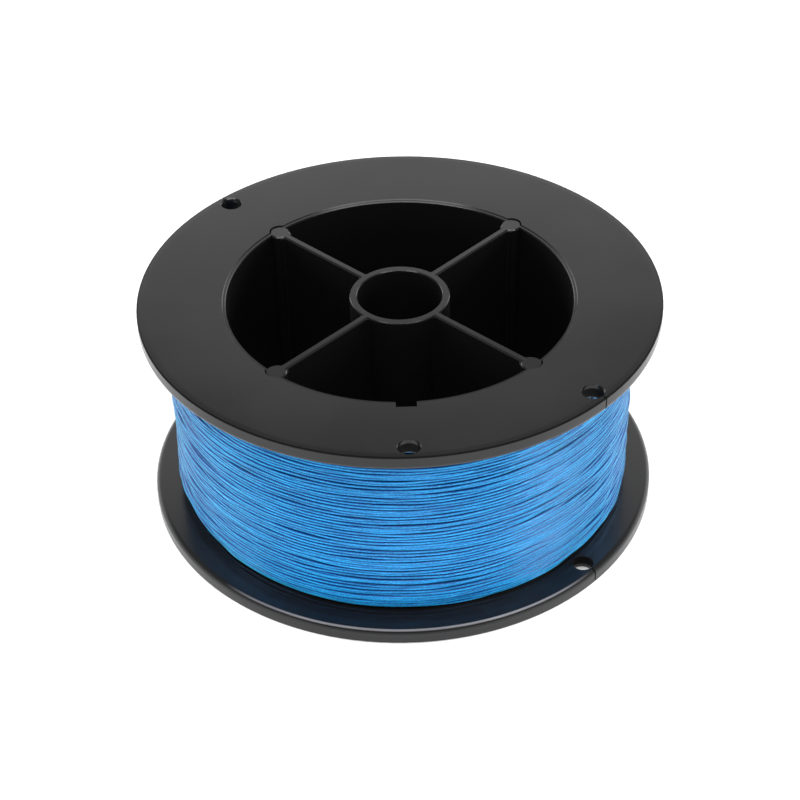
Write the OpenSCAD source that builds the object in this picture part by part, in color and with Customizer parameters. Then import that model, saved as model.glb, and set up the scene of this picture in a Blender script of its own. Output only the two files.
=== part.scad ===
// Bulk spool of braided fishing line: a webbed core between two flange plates, with its line.
// The spool stands on its lower flange, with the bore along +Z and the drive notch towards -Y.

/* [Spool] */
// Diameter of both flanges
flange_d = 125; // [120:1:140]
// Height from the outer face of one flange to that of the other
spool_h = 55.5; // [54:0.5:70]

/* [Flanges] */
// Thickness of a flange plate at its rim
flange_t = 3.75; // [3.4:0.05:4]
// How far the outer face sinks from the rim to the opening
face_dish = 0.85; // [0.4:0.05:1]
// Round on the rim's edge towards the line
rim_inner_round = 1.3; // [0.6:0.1:1.6]
// Round on the rim's outer edge
rim_outer_round = 0.35; // [0.2:0.05:0.8]
// Diameter of a hole that holds the line's end
line_hole_d = 5; // [4:0.1:5.4]
// Distance from the rim to the centre of a hole
line_hole_inset = 3.9; // [3.5:0.1:6]
// Width of the slit that leads from a hole out through the rim
slit_w = 0.4; // [0.3:0.05:0.6]

/* [Core] */
// Outer diameter of the barrel that the line is wound on
barrel_d = 87.8; // [85:0.2:91]
// Thickness of the barrel's wall
barrel_wall = 2.4; // [2:0.1:2.6]
// Diameter of the bore for a spindle
bore_d = 20.4; // [16:0.1:26]
// Thickness of the hub's wall
hub_wall = 1.8; // [1.4:0.1:2.4]
// Thickness of a web between the hub and the barrel
web_t = 1.9; // [1.4:0.1:2.6]
// Diameter of a post at a web's outer end
post_d = 5; // [4.4:0.1:5.4]

/* [Drive notch] */
// Width of the notch in the upper flange
notch_w = 4.7; // [3.6:0.1:6]

/* [Line] */
// Diameter over the outer layer of turns
wound_d = 112.2; // [104:0.2:113]
// How much smaller the radius is at the first and the last loop
shoulder_drop = 0.9; // [0.4:0.1:1.4]
// Loops in the outer layer
loops = 24; // [16:1:24]
// Diameter of one drawn loop, which stands for two or three real turns
loop_d = 1.65; // [1.2:0.05:1.7]

/* [Hidden] */

plastic = "#2b2b2d";
line_blue = "#2d7dc3";

flange_r = flange_d / 2;
barrel_r = barrel_d / 2;
barrel_inner_r = barrel_r - barrel_wall;
bore_r = bore_d / 2;
hub_r = bore_r + hub_wall;
post_r = post_d / 2;

// The spigot is the thin end of the barrel's wall, which centres the flange
spigot_wall = 0.6;
spigot_r = barrel_inner_r + spigot_wall;
seat_gap = 0.05;
opening_r = spigot_r + seat_gap;
opening_chamfer = 0.25;

// Both ends of the core lie in one plane, where the chamfer of the flange's opening ends
core_z0 = face_dish + opening_chamfer;
core_z1 = spool_h - core_z0;
edge_ease = 0.2;
post_ease = 0.3;
web_ease = 0.35;

// The posts stand half in the barrel's wall and half in the flange's opening
post_circle_r = barrel_r - 0.4 - post_r;
web_fillet = 0.8;
root_sink = 0.8;
web_angles = [45, 135, 225, 315];
notch_angle = 270;

// A flat ring at the rim, which the spool stands on, and then the outer face sinks like a shallow cone
rim_land = 1.2;
land_r = flange_r - rim_outer_round - rim_land;
line_hole_circle_r = flange_r - line_hole_inset;
hole_chamfer = 0.2;
function face_z(r) = face_dish * max(0, land_r - r) / (land_r - opening_r - opening_chamfer);

// The two opposite holes have a slit; the upper flange has one more hole, in line with the notch
slit_angles = [135, 315];
upper_hole_angles = [135, 315, 270];
lower_hole_angles = [135, 315];

over = 1;
round_steps = 6;

// Points of a quarter arc of radius r about [x, y], from angle a to angle a + 90
function quarter(x, y, r, a) = [
    for (i = [0 : round_steps])
        [x + r * cos(a + 90 * i / round_steps), y + r * sin(a + 90 * i / round_steps)]
];

// Points of a rectangle whose four corners are cut off by e
function eased(x0, y0, x1, y1, e) = [
    [x0 + e, y0], [x1 - e, y0], [x1, y0 + e], [x1, y1 - e],
    [x1 - e, y1], [x0 + e, y1], [x0, y1 - e], [x0, y0 + e]
];

// Section of a flange plate: its outer face starts at 0 and the face towards the line is at flange_t
module flange_section() {
    polygon(concat(
        [[opening_r + opening_chamfer, face_dish], [land_r, 0]],
        quarter(flange_r - rim_outer_round, rim_outer_round, rim_outer_round, 270),
        quarter(flange_r - rim_inner_round, flange_t - rim_inner_round, rim_inner_round, 0),
        [[opening_r, flange_t], [opening_r, core_z0]]
    ));
}

// A hole through the plate, eased where it meets the outer face
module line_hole() {
    translate([line_hole_circle_r, 0, -over])
        cylinder(h = flange_t + 2 * over, d = line_hole_d, $fn = 48);
    translate([line_hole_circle_r, 0, face_z(line_hole_circle_r) - hole_chamfer])
        cylinder(
            h = 2 * hole_chamfer,
            r1 = line_hole_d / 2 + 2 * hole_chamfer,
            r2 = line_hole_d / 2,
            $fn = 48
        );
}

module rim_slit() {
    translate([line_hole_circle_r, -slit_w / 2, -over])
        cube([flange_r - line_hole_circle_r + over, slit_w, flange_t + 2 * over]);
}

// Room for the post that passes through the opening's edge
module post_bite() {
    translate([post_circle_r, 0, -over])
        cylinder(h = flange_t + 2 * over, r = post_r + seat_gap, $fn = 48);
}

// A square notch from the opening out to the barrel's outer radius
module drive_notch() {
    translate([barrel_inner_r - over, -notch_w / 2, -over])
        cube([barrel_wall + over, notch_w, flange_t + 2 * over]);
}

// A plate with its outer face down at 0; mirrored and raised, it closes the spool's top
module flange_plate(hole_angles, notched) {
    difference() {
        rotate_extrude($fn = 180) flange_section();
        for (a = web_angles) rotate(a) post_bite();
        for (a = hole_angles) rotate(a) line_hole();
        for (a = slit_angles) rotate(a) rim_slit();
        if (notched) rotate(notch_angle) drive_notch();
    }
}

module upper_flange() {
    color(plastic)
        translate([0, 0, spool_h])
            mirror([0, 0, 1])
                flange_plate(upper_hole_angles, true);
}

module lower_flange() {
    color(plastic)
        flange_plate(lower_hole_angles, false);
}

// The barrel steps in to a spigot at each end, and a flange sits on each step
module barrel() {
    rotate_extrude($fn = 180)
        polygon([
            [barrel_inner_r, core_z0 + edge_ease],
            [barrel_inner_r + edge_ease, core_z0],
            [spigot_r, core_z0],
            [spigot_r, flange_t],
            [barrel_r, flange_t],
            [barrel_r, spool_h - flange_t],
            [spigot_r, spool_h - flange_t],
            [spigot_r, core_z1],
            [barrel_inner_r + edge_ease, core_z1],
            [barrel_inner_r, core_z1 - edge_ease]
        ]);
}

module hub() {
    rotate_extrude($fn = 180)
        polygon(eased(bore_r, core_z0, hub_r, core_z1, edge_ease));
}

// Two concave corners where a web along +X meets a round wall at x, on the side dir points to
module web_root(x, dir) {
    for (side = [-1, 1])
        translate([x, side * web_t / 2])
            difference() {
                translate([dir > 0 ? -root_sink : -web_fillet, min(0, side * web_fillet)])
                    square([web_fillet + root_sink, web_fillet]);
                translate([dir * web_fillet, side * web_fillet])
                    circle(r = web_fillet, $fn = 32);
            }
}

module web() {
    hub_face_x = sqrt(hub_r * hub_r - web_t * web_t / 4);
    post_face_x = post_circle_r - sqrt(post_r * post_r - web_t * web_t / 4);
    start_x = hub_r - hub_wall / 2;
    translate([start_x, 0, 0])
        rotate([90, 0, 90])
            linear_extrude(post_circle_r - start_x)
                polygon(eased(-web_t / 2, core_z0, web_t / 2, core_z1, web_ease));
    translate([0, 0, core_z0 + web_ease])
        linear_extrude(core_z1 - core_z0 - 2 * web_ease) {
            web_root(hub_face_x, 1);
            web_root(post_face_x, -1);
        }
}

module post() {
    translate([post_circle_r, 0, 0])
        rotate_extrude($fn = 48)
            polygon([
                [0, core_z0],
                [post_r - post_ease, core_z0],
                [post_r, core_z0 + post_ease],
                [post_r, core_z1 - post_ease],
                [post_r - post_ease, core_z1],
                [0, core_z1]
            ]);
}

module core() {
    color(plastic)
        difference() {
            union() {
                barrel();
                hub();
                for (a = web_angles) rotate(a) {
                    web();
                    post();
                }
            }
            // The notch also parts the upper spigot, down to the flange's seat
            translate([0, 0, spool_h])
                rotate(notch_angle)
                    translate([barrel_inner_r - over, -notch_w / 2, -flange_t])
                        cube([barrel_wall + over, notch_w, flange_t + over]);
        }
}

// The outer layer is one tube that climbs from the lower flange to the upper one
rings_per_loop = 24;
sides = 6;
tube_r = loop_d / 2;
wound_r = wound_d / 2;
loop_r = wound_r - tube_r;
end_gap = 0.1;
layer_z0 = flange_t + end_gap + tube_r;
layer_z1 = spool_h - flange_t - end_gap - tube_r;
loop_pitch = (layer_z1 - layer_z0) / loops;
ring_count = loops * rings_per_loop + 1;
climb = atan2(loop_pitch, 2 * PI * loop_r);
start_angle = 90;

// The layer draws in towards both flanges, by the most at h = 0 and not at all from shoulder_h on
shoulder_h = 3.5;
shoulder_steps = 6;
function ease(h) = shoulder_drop * pow(max(0, 1 - max(0, h) / shoulder_h), 2);

// The straight sides of the loops pass inside the true circle, and the pack stays inside them
pack_clear = 0.05;
pack_r = loop_r * cos(180 / rings_per_loop) - tube_r - pack_clear;

// Turn in degrees, height and radius of the tube's centre at ring i
function ring_angle(i) = start_angle + 360 * i / rings_per_loop;
function ring_z(i) = layer_z0 + loop_pitch * i / rings_per_loop;
function ring_r(i) = loop_r - ease(min(ring_z(i) - layer_z0, layer_z1 - ring_z(i)));
function centre(i) = [ring_r(i) * cos(ring_angle(i)), ring_r(i) * sin(ring_angle(i)), ring_z(i)];
function along(i) = [
    -sin(ring_angle(i)) * cos(climb),
    cos(ring_angle(i)) * cos(climb),
    sin(climb)
];
function outward(i) = [cos(ring_angle(i)), sin(ring_angle(i)), 0];

// Corner k of the section at ring i, moved along the tube by d; flat sides face the next loops
function corner(i, k, d) =
    let (
        u = outward(i),
        t = along(i),
        w = cross(t, u),
        a = 360 * k / sides
    )
    centre(i) + d * t + tube_r * (cos(a) * u + sin(a) * w);

// Both ends run straight on for one tube diameter
tube_points = concat(
    [for (k = [0 : sides - 1]) corner(0, k, -loop_d)],
    [for (i = [0 : ring_count - 1]) for (k = [0 : sides - 1]) corner(i, k, 0)],
    [for (k = [0 : sides - 1]) corner(ring_count - 1, k, loop_d)]
);
ring_total = ring_count + 2;
last_ring = (ring_total - 1) * sides;

tube_faces = concat(
    [for (i = [0 : ring_total - 2]) for (k = [0 : sides - 1])
        [i * sides + k, i * sides + (k + 1) % sides, (i + 1) * sides + k]],
    [for (i = [0 : ring_total - 2]) for (k = [0 : sides - 1])
        [i * sides + (k + 1) % sides, (i + 1) * sides + (k + 1) % sides, (i + 1) * sides + k]],
    [for (k = [1 : sides - 2]) [0, k + 1, k]],
    [for (k = [1 : sides - 2]) [last_ring, last_ring + k, last_ring + k + 1]]
);

// Least gap between the tube's loops: each ring's corners against those of the loop above
least_gap = min([
    for (i = [0 : ring_count - rings_per_loop - 2])
        for (j = [i + rings_per_loop - 1 : i + rings_per_loop + 1])
            for (k = [0 : sides - 1])
                for (m = [0 : sides - 1])
                    norm(tube_points[(i + 1) * sides + k] - tube_points[(j + 1) * sides + m])
]);
echo(least_gap = least_gap, loop_pitch = loop_pitch, pack_r = pack_r);

// The turns under the outer layer, from the barrel to just inside that layer
module line_pack() {
    step = shoulder_h / shoulder_steps;
    color(line_blue)
        rotate_extrude($fn = 180)
            polygon(concat(
                [[barrel_r, flange_t], [pack_r - shoulder_drop, flange_t]],
                [for (s = [0 : shoulder_steps])
                    [pack_r - ease(s * step), layer_z0 + tube_r + s * step]],
                [for (s = [shoulder_steps : -1 : 0])
                    [pack_r - ease(s * step), layer_z1 - tube_r - s * step]],
                [[pack_r - shoulder_drop, spool_h - flange_t], [barrel_r, spool_h - flange_t]]
            ));
}

module line_outer_layer() {
    color(line_blue)
        polyhedron(points = tube_points, faces = tube_faces, convexity = 10);
}

core();
upper_flange();
lower_flange();
line_pack();
line_outer_layer();
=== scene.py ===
import math

import bpy
from mathutils import Matrix, Vector


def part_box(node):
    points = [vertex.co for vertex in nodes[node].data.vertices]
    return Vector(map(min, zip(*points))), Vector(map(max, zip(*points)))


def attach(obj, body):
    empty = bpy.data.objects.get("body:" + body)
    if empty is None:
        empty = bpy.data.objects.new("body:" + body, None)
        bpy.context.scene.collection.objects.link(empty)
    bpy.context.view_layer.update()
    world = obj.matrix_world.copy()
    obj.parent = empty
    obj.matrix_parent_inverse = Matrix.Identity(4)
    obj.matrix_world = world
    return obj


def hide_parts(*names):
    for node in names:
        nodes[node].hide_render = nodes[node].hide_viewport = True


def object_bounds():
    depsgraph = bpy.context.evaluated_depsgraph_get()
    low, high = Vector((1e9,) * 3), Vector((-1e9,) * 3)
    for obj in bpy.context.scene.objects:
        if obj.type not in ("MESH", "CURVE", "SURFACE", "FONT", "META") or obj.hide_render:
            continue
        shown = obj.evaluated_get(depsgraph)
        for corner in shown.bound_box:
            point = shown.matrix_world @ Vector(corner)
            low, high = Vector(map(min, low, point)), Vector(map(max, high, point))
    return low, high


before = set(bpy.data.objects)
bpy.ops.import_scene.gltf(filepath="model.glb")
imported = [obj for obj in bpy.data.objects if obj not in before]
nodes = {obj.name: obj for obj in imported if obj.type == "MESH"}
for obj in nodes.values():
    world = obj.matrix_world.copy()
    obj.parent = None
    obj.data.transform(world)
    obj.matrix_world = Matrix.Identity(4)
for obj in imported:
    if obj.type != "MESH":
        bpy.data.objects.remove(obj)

cadLow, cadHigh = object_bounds()
rim = cadHigh[0]  # how far the flanges reach from the spool's axis
mm = 0.001
print("frame loaded:", ", ".join(sorted(nodes)))


# a socket that does arithmetic, and makes every other node through one method
class Wire:
    def __init__(self, tree, socket=None):
        self.tree = tree
        self.socket = socket

    def node(self, kind, settings=None, inputs=None, out=0):
        made = self.tree.nodes.new(kind)
        for name, value in (settings or {}).items():
            setattr(made, name, value)
        for name, value in (inputs or {}).items():
            if isinstance(value, Wire):
                self.tree.links.new(value.socket, made.inputs[name])
            else:
                made.inputs[name].default_value = value
        return Wire(self.tree, made.outputs[out] if len(made.outputs) else None)

    # another output of the same node
    def also(self, out):
        return Wire(self.tree, self.socket.node.outputs[out])

    def math(self, operation, *values):
        return self.node("ShaderNodeMath", {"operation": operation}, dict(enumerate(values)))

    def __add__(self, other):
        return self.math("ADD", self, other)

    def __radd__(self, other):
        return self.math("ADD", other, self)

    def __sub__(self, other):
        return self.math("SUBTRACT", self, other)

    def __rsub__(self, other):
        return self.math("SUBTRACT", other, self)

    def __mul__(self, other):
        return self.math("MULTIPLY", self, other)

    def __rmul__(self, other):
        return self.math("MULTIPLY", other, self)

    def __truediv__(self, other):
        return self.math("DIVIDE", self, other)

    def __rtruediv__(self, other):
        return self.math("DIVIDE", other, self)

    def __pow__(self, other):
        return self.math("POWER", self, other)

    def __abs__(self):
        return self.math("ABSOLUTE", self)

    def fract(self):
        return self.math("FRACT", self)

    def floor(self):
        return self.math("FLOOR", self)

    def sin(self):
        return self.math("SINE", self)

    def cos(self):
        return self.math("COSINE", self)

    def least(self, other):
        return self.math("MINIMUM", self, other)

    def most(self, other):
        return self.math("MAXIMUM", self, other)

    def clamp(self):
        return self.node("ShaderNodeClamp", None, {"Value": self})

    # one coordinate of a place
    def part(self, axis):
        return self.node("ShaderNodeSeparateXYZ", None, {"Vector": self}, out=axis)

    # how far a place is from the spool's axis
    def fromAxis(self):
        level = self.node("ShaderNodeVectorMath", {"operation": "MULTIPLY"}, {0: self, 1: (1, 1, 0)})
        return self.node("ShaderNodeVectorMath", {"operation": "LENGTH"}, {0: level}, out="Value")

    def vector(self, x, y, z=0):
        return self.node("ShaderNodeCombineXYZ", None, {"X": x, "Y": y, "Z": z})

    # noise at a place, around a half
    def noise(self, scale, detail):
        return self.node("ShaderNodeTexNoise", None, {"Vector": self, "Scale": scale, "Detail": detail})

    # runs from 0 to 1 as this value goes from low to high
    def ramp(self, low, high):
        settings = {"interpolation_type": "SMOOTHSTEP"}
        return self.node("ShaderNodeMapRange", settings, {"Value": self, "From Min": low, "From Max": high})

    def mixColour(self, dark, light):
        settings = {"data_type": "RGBA"}
        return self.node("ShaderNodeMix", settings, {"Factor": self, 6: dark, 7: light}, out=2)

    # this mesh or curve, with a value kept at each of its points
    def keep(self, name, value):
        settings = {"data_type": "FLOAT", "domain": "POINT"}
        inputs = {"Geometry": self, "Name": name, "Value": value}
        return self.node("GeometryNodeStoreNamedAttribute", settings, inputs)

    def kept(self, name):
        return self.node("GeometryNodeInputNamedAttribute", {"data_type": "FLOAT"}, {"Name": name})


def newMaterial(name):
    made = bpy.data.materials.new(name)
    made.use_nodes = True
    made.node_tree.nodes.clear()
    return made, Wire(made.node_tree)


def finishMaterial(start, shader):
    start.node("ShaderNodeOutputMaterial", None, {"Surface": shader})


# the camera looks down on the spool from just beside the drive notch
cameraView = {
    "lensMm": 86.26,
    "sensorMm": 36,
    "nearClip": 0.01,
    "distance": 476.99 * mm,
    "elevation": 37.91,
    "azimuth": -1.3,
    "roll": -1.126,
    "target": (-0.405 * mm, 0, 22.436 * mm),
}


def makeCamera(view):
    turn = Matrix.Rotation(math.radians(view["azimuth"]), 3, "Z")
    lift = math.radians(view["elevation"])
    back = turn @ Vector((0, -math.cos(lift), math.sin(lift)))
    right = turn @ Vector((1, 0, 0))
    up = back.cross(right)
    roll = Matrix.Rotation(math.radians(view["roll"]), 3, back)
    right = roll @ right
    up = roll @ up
    place = turn @ Vector(view["target"]) + back * view["distance"]
    data = bpy.data.cameras.new("camera")
    data.lens = view["lensMm"]
    data.sensor_width = view["sensorMm"]
    data.clip_start = view["nearClip"]
    camera = bpy.data.objects.new("camera", data)
    bpy.context.scene.collection.objects.link(camera)
    axes = Matrix((right, up, back)).transposed()
    camera.matrix_world = Matrix.Translation(place) @ axes.to_4x4()
    bpy.context.scene.camera = camera


makeCamera(cameraView)
print("camera placed")


# soft panels at the sides, in front and overhead, and a glowing card behind that the black plastic mirrors
studio = {
    "lamps": {
        "leftPanel": {"place": (-0.94, 0.06, 0.36), "size": (0.6, 0.2), "watts": 9, "shows": "diffuse"},
        "rightPanel": {"place": (0.94, 0.06, 0.36), "size": (0.6, 0.2), "watts": 12, "shows": "diffuse"},
        "frontPanel": {"place": (0, -1.2, 0.5), "size": (1.6, 0.6), "watts": 11, "shows": "diffuse"},
        "topPanel": {"place": (0, -0.31, 0.82), "size": (1, 0.26), "watts": 5, "shows": "both"},
        "leftGlint": {"place": (-0.94, 0.05, 0.36), "size": (0.7, 0.1), "watts": 7, "shows": "glossy"},
        "rightGlint": {"place": (0.94, 0.05, 0.36), "size": (0.7, 0.1), "watts": 12, "shows": "glossy"},
    },
    "lampAim": (0, 0, 0.03),
    "skyShade": 0.28,
    "skyWhiteTo": (0.15, 0.44),
    "skyWhiteFrom": (-0.97, -0.6),
    "floorSize": 6,
    "floorDrop": 0.2 * mm,
    "floorShade": 0.6,
    "floorGlow": 0.44,
    "floorGlowFrom": (48 * mm, 64 * mm),
    "floorWhiteFrom": (0.3, 1.2),
    "cardPlace": 0.15,
    "cardWidth": 1.2,
    "cardHeight": 0.26,
    "cardFade": (0.115, 0.21),
    "cardGlow": 1.0,
}


# the glints fall on the line alone, so that the flat plastic never mirrors them
def makeLamp(name, settings, aim, glintsOn):
    data = bpy.data.lights.new(name, "AREA")
    data.shape = "RECTANGLE"
    data.size, data.size_y = settings["size"]
    data.energy = settings["watts"]
    lamp = bpy.data.objects.new(name, data)
    bpy.context.scene.collection.objects.link(lamp)
    lamp.location = settings["place"]
    ray = Vector(aim) - Vector(settings["place"])
    lamp.rotation_euler = ray.to_track_quat("-Z", "Y").to_euler()
    lamp.visible_camera = False
    lamp.visible_glossy = settings["shows"] != "diffuse"
    lamp.visible_diffuse = settings["shows"] != "glossy"
    if settings["shows"] == "glossy":
        lamp.light_linking.receiver_collection = glintsOn


# grey for the light itself, and white where the camera looks and in low reflections, but for those of the
# camera's own side
def makeSky(settings):
    world = bpy.data.worlds.new("sky")
    world.use_nodes = True
    world.node_tree.nodes.clear()
    start = Wire(world.node_tree)
    path = start.node("ShaderNodeLightPath", out="Is Camera Ray")
    toward = start.node("ShaderNodeTexCoord", out="Generated")
    white = 1 - toward.part("Z").ramp(*settings["skyWhiteTo"])
    white = white * toward.part("Y").ramp(*settings["skyWhiteFrom"])
    mirrored = path.also("Is Glossy Ray") * white
    seen = (path + mirrored + path.also("Is Transmission Ray")).clamp()
    level = settings["skyShade"] + seen * (1 - settings["skyShade"])
    sky = start.node("ShaderNodeBackground", None, {"Color": (1, 1, 1, 1), "Strength": level})
    start.node("ShaderNodeOutputWorld", None, {"Surface": sky})
    bpy.context.scene.world = world


def newSheet(name, corners, material):
    mesh = bpy.data.meshes.new(name)
    mesh.from_pydata(corners, [], [(0, 1, 2, 3)])
    mesh.materials.append(material)
    made = bpy.data.objects.new(name, mesh)
    bpy.context.scene.collection.objects.link(made)
    return made


# the floor's glow stops under the spool, where the wells are open to it, and far out the camera sees it white
def makeFloor(settings):
    made, start = newMaterial("paleFloor")
    path = start.node("ShaderNodeLightPath", out="Is Camera Ray")
    away = start.node("ShaderNodeTexCoord", out="Object").fromAxis()
    seen = (path + path.also("Is Glossy Ray") + path.also("Is Transmission Ray")).clamp()
    seen = seen * away.ramp(*settings["floorGlowFrom"]) * settings["floorGlow"]
    seen = seen + path * away.ramp(*settings["floorWhiteFrom"])
    shade = settings["floorShade"]
    paint = start.node("ShaderNodeBsdfDiffuse", None, {"Color": (shade, shade, shade, 1)})
    glow = start.node("ShaderNodeEmission", None, {"Strength": seen})
    finishMaterial(start, start.node("ShaderNodeAddShader", None, {0: paint, 1: glow}))
    half = settings["floorSize"] / 2
    low = -settings["floorDrop"]
    newSheet("floor", [(-half, -half, low), (half, -half, low), (half, half, low), (-half, half, low)], made)


# clear but for its glow, so it adds light and hides nothing
def makeCard(settings):
    made, start = newMaterial("backCard")
    height = start.node("ShaderNodeTexCoord", out="Object").part("Z")
    fade = 1 - height.ramp(*settings["cardFade"])
    glow = start.node("ShaderNodeEmission", None, {"Strength": fade * settings["cardGlow"]})
    clear = start.node("ShaderNodeBsdfTransparent")
    finishMaterial(start, start.node("ShaderNodeAddShader", None, {0: clear, 1: glow}))
    half = settings["cardWidth"] / 2
    away = settings["cardPlace"]
    top = settings["cardHeight"]
    corners = [(-half, away, 0), (half, away, 0), (half, away, top), (-half, away, top)]
    card = newSheet("backCard", corners, made)
    card.visible_camera = False
    card.visible_shadow = False


lineOnly = bpy.data.collections.new("lineOnly")
for lampName, lampSettings in studio["lamps"].items():
    makeLamp(lampName, lampSettings, studio["lampAim"], lineOnly)
makeSky(studio)
makeFloor(studio)
makeCard(studio)
bpy.context.scene.view_settings.view_transform = "Standard"
print("studio lit")


# black moulding: satin faces with a fine grain and a faint flow, and a near-black matt finish painted in as
# shade on the walls of the wells and holes and along the upper rim's top edge
plastic = {
    "dark": (0.0045, 0.0045, 0.0047, 1),
    "light": (0.0075, 0.0075, 0.0077, 1),
    "index": 1.46,
    "roughness": 0.23,
    "flowScale": 45,
    "flowDetail": 4,
    "flowRange": (0.3, 0.7),
    "flowRoughness": 0.08,
    "grainScale": 4200,
    "grainDetail": 2,
    "grainRoughness": 0.08,
    "grainStrength": 0.3,
    "grainDepth": 0.006 * mm,
    # painted shade: a near-black, matt, weakly mirroring finish that stands in for the shade in the wells and
    # holes and on the upper rim's top edge
    "mattShade": (0.001, 0.001, 0.001, 1),
    "mattRoughness": 0.75,
    "mattSpecular": 0.2,
    "shadeFade": 0.4 * mm,
    "shadeInset": {"core": 0.3 * mm, "flange": 1 * mm},
    "shadeEndsInside": (1 * mm, 0.6 * mm),
    "shadedEdgeWidth": 0.5 * mm,
    # the lip's painted highlight: its colour, the band it lies in, how far down the lip it reaches, where in
    # front it starts, and its least share in the flow's patches
    "lipHighlight": (0.18, 0.18, 0.2, 1),
    "lipHighlightBand": (61.5 * mm, 61.7 * mm, 61.9 * mm, 62.15 * mm),
    "lipHighlightHeight": 0.8 * mm,
    "lipHighlightFront": (43 * mm, 52 * mm),
    "lipHighlightLeast": 0.4,
}


# a painted highlight: a pale band on a flange's lip at the line, in front only, and patchy with the flow
def paintLipHighlight(shade, place, flow, lip, settings):
    away = place.fromAxis()
    first, second, third, last = settings["lipHighlightBand"]
    lipLight = away.ramp(first, second) * (1 - away.ramp(third, last))
    lipLight = lipLight * place.part("Z").ramp(lip - settings["lipHighlightHeight"], lip)
    lipLight = lipLight * (0 - place.part("Y")).ramp(*settings["lipHighlightFront"])
    lipLight = lipLight * (settings["lipHighlightLeast"] + flow)
    return lipLight.clamp().mixColour(shade, settings["lipHighlight"])


# the share of painted shade: 1 on the walls of the wells and holes, which lie between two heights, and on the
# rim's edge at shadedEdge, where a near-black matt finish stands in for shade
def paintedShadeShare(place, walls, shadedEdge, settings):
    height = place.part("Z")
    away = place.fromAxis()
    low, high = walls
    outer, inner = settings["shadeEndsInside"]
    share = (height - low).least(high - height).ramp(0, settings["shadeFade"])
    share = share * (1 - away.ramp(rim - outer, rim - inner))
    if shadedEdge:
        wide = settings["shadedEdgeWidth"]
        narrow = wide / 4
        edge = away.ramp(rim - wide, rim - narrow) * (1 - abs(height - shadedEdge).ramp(narrow, wide))
        share = share.most(edge)
    return share


def makePlastic(name, settings, walls, shadedEdge=None, highlightedLip=None):
    made, start = newMaterial(name)
    place = start.node("ShaderNodeTexCoord", out="Object")
    flow = place.noise(settings["flowScale"], settings["flowDetail"])
    grain = place.noise(settings["grainScale"], settings["grainDetail"])
    shade = flow.ramp(*settings["flowRange"]).mixColour(settings["dark"], settings["light"])
    # the lower flange's lip gets a painted highlight
    if highlightedLip:
        shade = paintLipHighlight(shade, place, flow, highlightedLip, settings)
    rough = settings["roughness"] + (flow - 0.5) * settings["flowRoughness"]
    rough = rough + (grain - 0.5) * settings["grainRoughness"]
    bump = start.node("ShaderNodeBump", None, {
        "Height": grain, "Strength": settings["grainStrength"], "Distance": settings["grainDepth"]})
    satin = start.node("ShaderNodeBsdfPrincipled", None, {
        "Base Color": shade, "Roughness": rough, "Normal": bump, "IOR": settings["index"]})
    mattShade = start.node("ShaderNodeBsdfPrincipled", None, {
        "Base Color": settings["mattShade"], "Roughness": settings["mattRoughness"], "Normal": bump,
        "IOR": settings["index"], "Specular IOR Level": settings["mattSpecular"]})
    share = paintedShadeShare(place, walls, shadedEdge, settings)
    finishMaterial(start, start.node("ShaderNodeMixShader", None, {0: share, 1: satin, 2: mattShade}))
    return made


# blue polyethylene braid, drawn along the line's own run and around it, with painted shade in the grooves
# between turns, darker on turns that lie lower
braid = {
    "pick": 0.5 * mm,
    "yarnsAround": 4,
    "yarnShare": 0.9,
    "yarnStrength": 0.8,
    "yarnDepth": 0.06 * mm,
    "speckScale": 2200,
    "speckDetail": 2,
    "speckShare": 2.2,
    "streaksAlong": 120,
    "streaksAcross": 1500,
    "streakDetail": 1,
    "streakShare": 1.6,
    # painted shade: the next two set how much darker the lower turns are, and grooveShade fills the grooves
    # and a turn's flanks
    "crownLevel": 0.85,
    "heightShadeShare": 1.1,
    "grooveShade": (0.0002, 0.045, 0.22, 1),
    "deep": (0.0004, 0.16, 0.54, 1),
    "bright": (0.006, 0.425, 1.0, 1),
    "litHeight": (0.25, 1.0),
    "litFace": (0.5, 1.0),
    "roughness": 0.2,
    "specular": 1.0,
    "glintTint": (0.58, 0.88, 1, 1),
    "metallic": 0.2,
    "sheen": 0.3,
    "sheenRoughness": 0.3,
    "sheenTint": (0.1, 1, 0.7, 1),
}


# two sets of yarns cross over and under each other, and each one is highest along its middle
def weave(run, turned):
    first = run + turned
    second = run - turned
    crownFirst = 1 - abs((first.fract() - 0.5) * 2)
    crownSecond = 1 - abs((second.fract() - 0.5) * 2)
    over = ((first.floor() + second.floor()) / 2).fract() * 2
    return over * crownFirst + (1 - over) * crownSecond


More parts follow.
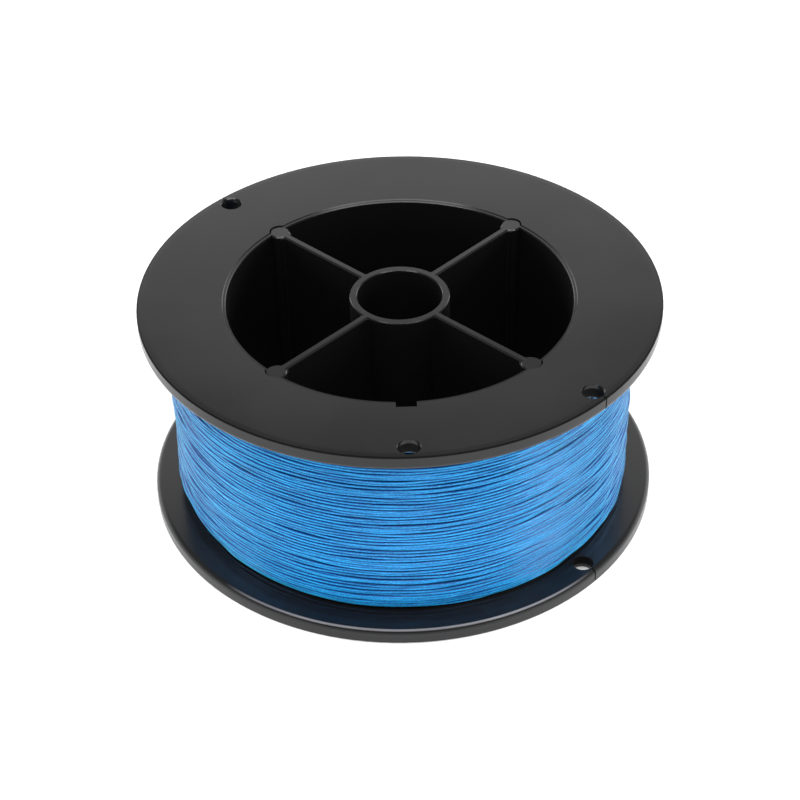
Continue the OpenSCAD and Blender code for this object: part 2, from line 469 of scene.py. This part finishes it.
def makeBraid(settings):
    made, start = newMaterial("blueBraid")

    def stored(name):
        return start.node("ShaderNodeAttribute", {"attribute_name": name}, out="Fac")

    run = stored("lineRun")
    height = stored("lineHeight")
    yarn = weave(run / settings["pick"], stored("lineRound") * settings["yarnsAround"])
    place = start.node("ShaderNodeTexCoord", out="Object")
    speck = place.noise(settings["speckScale"], settings["speckDetail"])
    streak = start.vector(run * settings["streaksAlong"], place.part("Z") * settings["streaksAcross"])
    streak = streak.noise(1, settings["streakDetail"])
    body = yarn * settings["yarnShare"] + (speck - 0.5) * settings["speckShare"]
    body = body + (streak - 0.5) * settings["streakShare"]
    # painted shade: turns that lie lower come out darker, higher ones lighter
    body = body + (height - settings["crownLevel"]) * settings["heightShadeShare"]
    shade = body.ramp(0, 1).mixColour(settings["deep"], settings["bright"])
    # painted shade: away from a turn's crown, the colour goes to the groove's
    lit = height.ramp(*settings["litHeight"]) * stored("lineFace").ramp(*settings["litFace"])
    shade = lit.mixColour(settings["grooveShade"], shade)
    bump = start.node("ShaderNodeBump", None, {
        "Height": yarn, "Strength": settings["yarnStrength"], "Distance": settings["yarnDepth"]})
    finishMaterial(start, start.node("ShaderNodeBsdfPrincipled", None, {
        "Base Color": shade, "Roughness": settings["roughness"], "Normal": bump,
        "Specular IOR Level": settings["specular"], "Specular Tint": settings["glintTint"],
        "Metallic": settings["metallic"], "Sheen Weight": settings["sheen"],
        "Sheen Roughness": settings["sheenRoughness"], "Sheen Tint": settings["sheenTint"]}))
    return made


coreLow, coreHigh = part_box("core")
upperLow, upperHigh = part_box("upper_flange")
lowerLow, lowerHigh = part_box("lower_flange")
# heights between which the walls take the painted shade
inset = plastic["shadeInset"]
coreWalls = (coreLow.z + inset["core"], coreHigh.z - inset["core"])
upperWalls = (upperLow.z, upperHigh.z - inset["flange"])
lowerWalls = (lowerLow.z + inset["flange"], lowerHigh.z)
corePlastic = makePlastic("corePlastic", plastic, coreWalls)
upperPlastic = makePlastic("upperPlastic", plastic, upperWalls, shadedEdge=upperHigh.z)
lowerPlastic = makePlastic("lowerPlastic", plastic, lowerWalls, highlightedLip=lowerHigh.z)
blueBraid = makeBraid(braid)
print("materials made")


# the line, laid turn by turn: each turn sways and lifts a little on its own way round. A layer's drop is how
# deep it lies below the outer one, and a wave's pace is how fast it changes over one turn
winding = {
    "outer": {"turns": 54, "drop": 0, "start": 0.25, "seed": 3, "downwards": False},
    "under": {"turns": 55, "drop": 0.5 * mm, "start": 0.6, "seed": 8, "downwards": True},
    "cross": {"turns": 9, "drop": -0.02 * mm, "start": 0.4, "seed": 12, "downwards": True},
    "ringsPerTurn": 180,
    "sides": 8,
    "radius": 55.6 * mm,
    "width": 0.82 * mm,
    "thickness": 0.82 * mm,
    "edge": 0.5 * mm,
    "endTurns": 0.12,
    "seedStep": 17.3,
    "sway": 0.3 * mm,
    "swayWaves": (
        {"pace": 21.3, "offset": 0, "detail": 1, "share": 0.7},
        {"pace": 7.1, "offset": 20, "detail": 1, "share": 1},
        {"pace": 0.71, "offset": 40, "detail": 0, "share": 0.6},
    ),
    "lift": 0.2 * mm,
    "liftWaves": (
        {"pace": 31.1, "offset": 90, "detail": 1, "share": 0.8},
        {"pace": 13.3, "offset": 120, "detail": 1, "share": 1},
    ),
    "patchesAround": 2.2,
    "patchesUp": 260,
    "patchDetail": 1,
    "patchShare": 0.3,
    "shoulderDrop": 1.6 * mm,
    "shoulderHeight": 3.6 * mm,
    "shoulderShare": 0.75,
    "shoulderLean": 0.3,
    "shoulderTurn": 0.3,
    # how much wider the grooves' painted shade is at the spool's two sides
    "sideShade": 0.2,
}


# slow noises along the line, each from about -1 to 1, added by their shares
def waves(turn, seed, kinds):
    total = 0
    for kind in kinds:
        along = turn * kind["pace"] + seed * winding["seedStep"] + kind["offset"]
        settings = {"noise_dimensions": "1D"}
        noise = turn.node("ShaderNodeTexNoise", settings, {"W": along, "Scale": 1, "Detail": kind["detail"]})
        total = total + (noise - 0.5) * 2 * kind["share"]
    return total


# up or down the barrel, with a slow sway and two quicker ones, and never past the layer's ends
def turnHeight(given, turn, bottom, top):
    sway = given.also("Sway") * waves(turn, given.also("Seed"), winding["swayWaves"])
    first = given.also("From")
    height = first + (given.also("To") - first) * turn / given.also("Turns") + sway
    return height.least(top).most(bottom)


# the layer draws in near both flanges, a little more on one side
def turnShoulder(given, angle, height, bottom, top):
    toEdge = (height - bottom).least(top - height)
    shoulder = (1 - toEdge / given.also("Shoulder Height")).most(0) ** 2
    lean = (angle + winding["shoulderTurn"]).cos() * winding["shoulderLean"]
    return shoulder * given.also("Shoulder Drop") * (winding["shoulderShare"] - lean)


# neighbouring turns rise and sink together in low patches, and each one a little by itself
def turnLift(given, turn, angle, height):
    seed = given.also("Seed")
    around = winding["patchesAround"]
    patch = given.vector(angle.cos() * around, angle.sin() * around, height * winding["patchesUp"] + seed)
    patch = (patch.noise(1, winding["patchDetail"]) - 0.5) * 2
    sideways = angle.cos() ** 2
    lift = waves(turn, seed, winding["liftWaves"]) + patch * (winding["patchShare"] + sideways)
    return given.also("Lift") * (lift * (1 + sideways))


# a round section, one across, that takes the line's thickness and width
def lineProfile(given):
    sides = given.also("Sides")
    profile = given.node("GeometryNodeCurvePrimitiveCircle", None, {"Resolution": sides, "Radius": 0.5})
    profile = profile.keep("lineRound", given.node("GeometryNodeInputIndex") / sides)
    size = given.vector(given.also("Thickness"), given.also("Width"), 1)
    return given.node("GeometryNodeTransform", None, {"Geometry": profile, "Scale": size})


# lineHeight is 1 at the layer's crown and 0 a line's thickness below it; lineFace is 1 on a turn's own crown,
# and less at the spool's two sides, so that the grooves' painted shade is wider there
def keepHeights(given, tube):
    thickness = given.also("Thickness")
    place = given.node("GeometryNodeInputPosition")
    away = place.fromAxis()
    tube = tube.keep("lineHeight", 1 - (given.kept("lineCrown") - away) / thickness)
    sideways = place.part("X") / away
    face = (away - given.kept("lineReach")) / thickness * 2 - sideways ** 2 * winding["sideShade"]
    return tube.keep("lineFace", face)


def windingTree():
    tree = bpy.data.node_groups.new("windLine", "GeometryNodeTree")
    tree.interface.new_socket(name="Geometry", in_out="OUTPUT", socket_type="NodeSocketGeometry")
    kinds = {"Rings Per Turn": "NodeSocketInt", "Sides": "NodeSocketInt", "Material": "NodeSocketMaterial"}
    names = ("Turns", "Rings Per Turn", "Sides", "Radius", "Crown", "From", "To", "Width", "Thickness",
             "Sway", "Lift", "Shoulder Drop", "Shoulder Height", "Start", "Seed", "Material")
    for name in names:
        kind = kinds.get(name, "NodeSocketFloat")
        tree.interface.new_socket(name=name, in_out="INPUT", socket_type=kind)
    given = Wire(tree).node("NodeGroupInput")
    turns = given.also("Turns")
    perTurn = given.also("Rings Per Turn")
    bottom = given.also("From").least(given.also("To"))
    top = given.also("From").most(given.also("To"))
    turn = given.node("GeometryNodeInputIndex") / perTurn
    angle = (given.also("Start") + turn) * math.tau
    height = turnHeight(given, turn, bottom, top)
    shoulder = turnShoulder(given, angle, height, bottom, top)
    # the first and the last bit of a layer go down into the turns below
    ends = turn.ramp(0, winding["endTurns"]) * (turns - turn).ramp(0, winding["endTurns"])
    reach = given.also("Radius") + turnLift(given, turn, angle, height) - shoulder
    reach = reach - (1 - ends) * given.also("Thickness")
    place = given.vector(angle.cos() * reach, angle.sin() * reach, height)

    curve = given.node("GeometryNodeMeshLine", None, {"Count": turns * perTurn + 1})
    curve = given.node("GeometryNodeMeshToCurve", None, {"Mesh": curve})
    curve = given.node("GeometryNodeSetPosition", None, {"Geometry": curve, "Position": place})
    curve = given.node("GeometryNodeSetCurveNormal", {"mode": "Z_UP"}, {"Curve": curve})
    curve = curve.keep("lineRun", turn * math.tau * given.also("Radius"))
    curve = curve.keep("lineCrown", given.also("Crown") - shoulder)
    curve = curve.keep("lineReach", reach)
    tube = given.node("GeometryNodeCurveToMesh", None, {
        "Curve": curve, "Profile Curve": lineProfile(given), "Fill Caps": True})
    tube = keepHeights(given, tube)
    tube = given.node("GeometryNodeSetShadeSmooth", None, {"Geometry": tube})
    tube = given.node("GeometryNodeRealizeInstances", None, {"Geometry": tube})
    tube = given.node("GeometryNodeSetMaterial", None, {"Geometry": tube, "Material": given.also("Material")})
    given.node("NodeGroupOutput", None, {"Geometry": tube})
    return tree


# runs a tree once and keeps its result as a plain mesh
def grow(name, tree, values):
    grown = bpy.data.objects.new(name, bpy.data.meshes.new(name))
    bpy.context.scene.collection.objects.link(grown)
    modifier = grown.modifiers.new("grow", "NODES")
    modifier.node_group = tree
    for item in tree.interface.items_tree:
        if item.in_out == "INPUT":
            modifier[item.identifier] = values[item.name]
    bpy.context.view_layer.update()
    evaluated = grown.evaluated_get(bpy.context.evaluated_depsgraph_get())
    mesh = bpy.data.meshes.new_from_object(evaluated)
    grown.modifiers.clear()
    grown.data = mesh
    print(name, len(mesh.polygons), "faces")
    return grown


lineLow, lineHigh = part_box("line_pack")
lineTree = windingTree()


def windLayer(name, layer):
    ends = [lineLow.z + winding["edge"], lineHigh.z - winding["edge"]]
    if layer["downwards"]:
        ends.reverse()
    return grow(name, lineTree, {
        "Turns": float(layer["turns"]),
        "Rings Per Turn": winding["ringsPerTurn"],
        "Sides": winding["sides"],
        "Radius": winding["radius"] - layer["drop"],
        "Crown": winding["radius"] + winding["thickness"] / 2,
        "From": ends[0],
        "To": ends[1],
        "Width": winding["width"],
        "Thickness": winding["thickness"],
        "Sway": winding["sway"],
        "Lift": winding["lift"],
        "Shoulder Drop": winding["shoulderDrop"],
        "Shoulder Height": winding["shoulderHeight"],
        "Start": layer["start"],
        "Seed": float(layer["seed"]),
        "Material": blueBraid,
    })


outerTurns = windLayer("outerTurns", winding["outer"])
underTurns = windLayer("underTurns", winding["under"])
crossTurns = windLayer("crossTurns", winding["cross"])

# a plain drum of line under the turns, so that no gap shows through. It keeps no lineHeight or lineFace, so
# it takes the groove's painted shade all over
drum = {
    "steps": 180,
    "inner": 43.9 * mm,
    "below": 1.1 * mm,
    "shoulderDrop": 1.5 * mm,
    "shoulderFrom": 1 * mm,
    "shoulderTo": 4.5 * mm,
}


def packDrum(name, settings, low, high):
    inner = settings["inner"]
    outer = winding["radius"] - settings["below"]
    drawn = outer - settings["shoulderDrop"]
    start = settings["shoulderFrom"]
    end = settings["shoulderTo"]
    section = ((inner, low), (drawn, low), (drawn, low + start), (outer, low + end),
               (outer, high - end), (drawn, high - start), (drawn, high), (inner, high))
    steps = settings["steps"]
    count = len(section)
    points = []
    faces = []
    for step in range(steps):
        angle = math.tau * step / steps
        points += [(r * math.cos(angle), r * math.sin(angle), z) for r, z in section]
        here = step * count
        there = (step + 1) % steps * count
        for k in range(count):
            after = (k + 1) % count
            faces.append((here + k, there + k, there + after, here + after))
    mesh = bpy.data.meshes.new(name)
    mesh.from_pydata(points, [], faces)
    mesh.materials.append(blueBraid)
    made = bpy.data.objects.new(name, mesh)
    bpy.context.scene.collection.objects.link(made)
    return made


packedTurns = packDrum("packedTurns", drum, lineLow.z, lineHigh.z)
for piece in (outerTurns, underTurns, crossTurns, packedTurns):
    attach(piece, "root")
    lineOnly.objects.link(piece)
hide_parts("line_pack")
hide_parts("line_outer_layer")
print("line wound")

for name, finish in (("core", corePlastic), ("upper_flange", upperPlastic), ("lower_flange", lowerPlastic)):
    for slot in nodes[name].material_slots:
        slot.material = finish
print("plastic dressed")
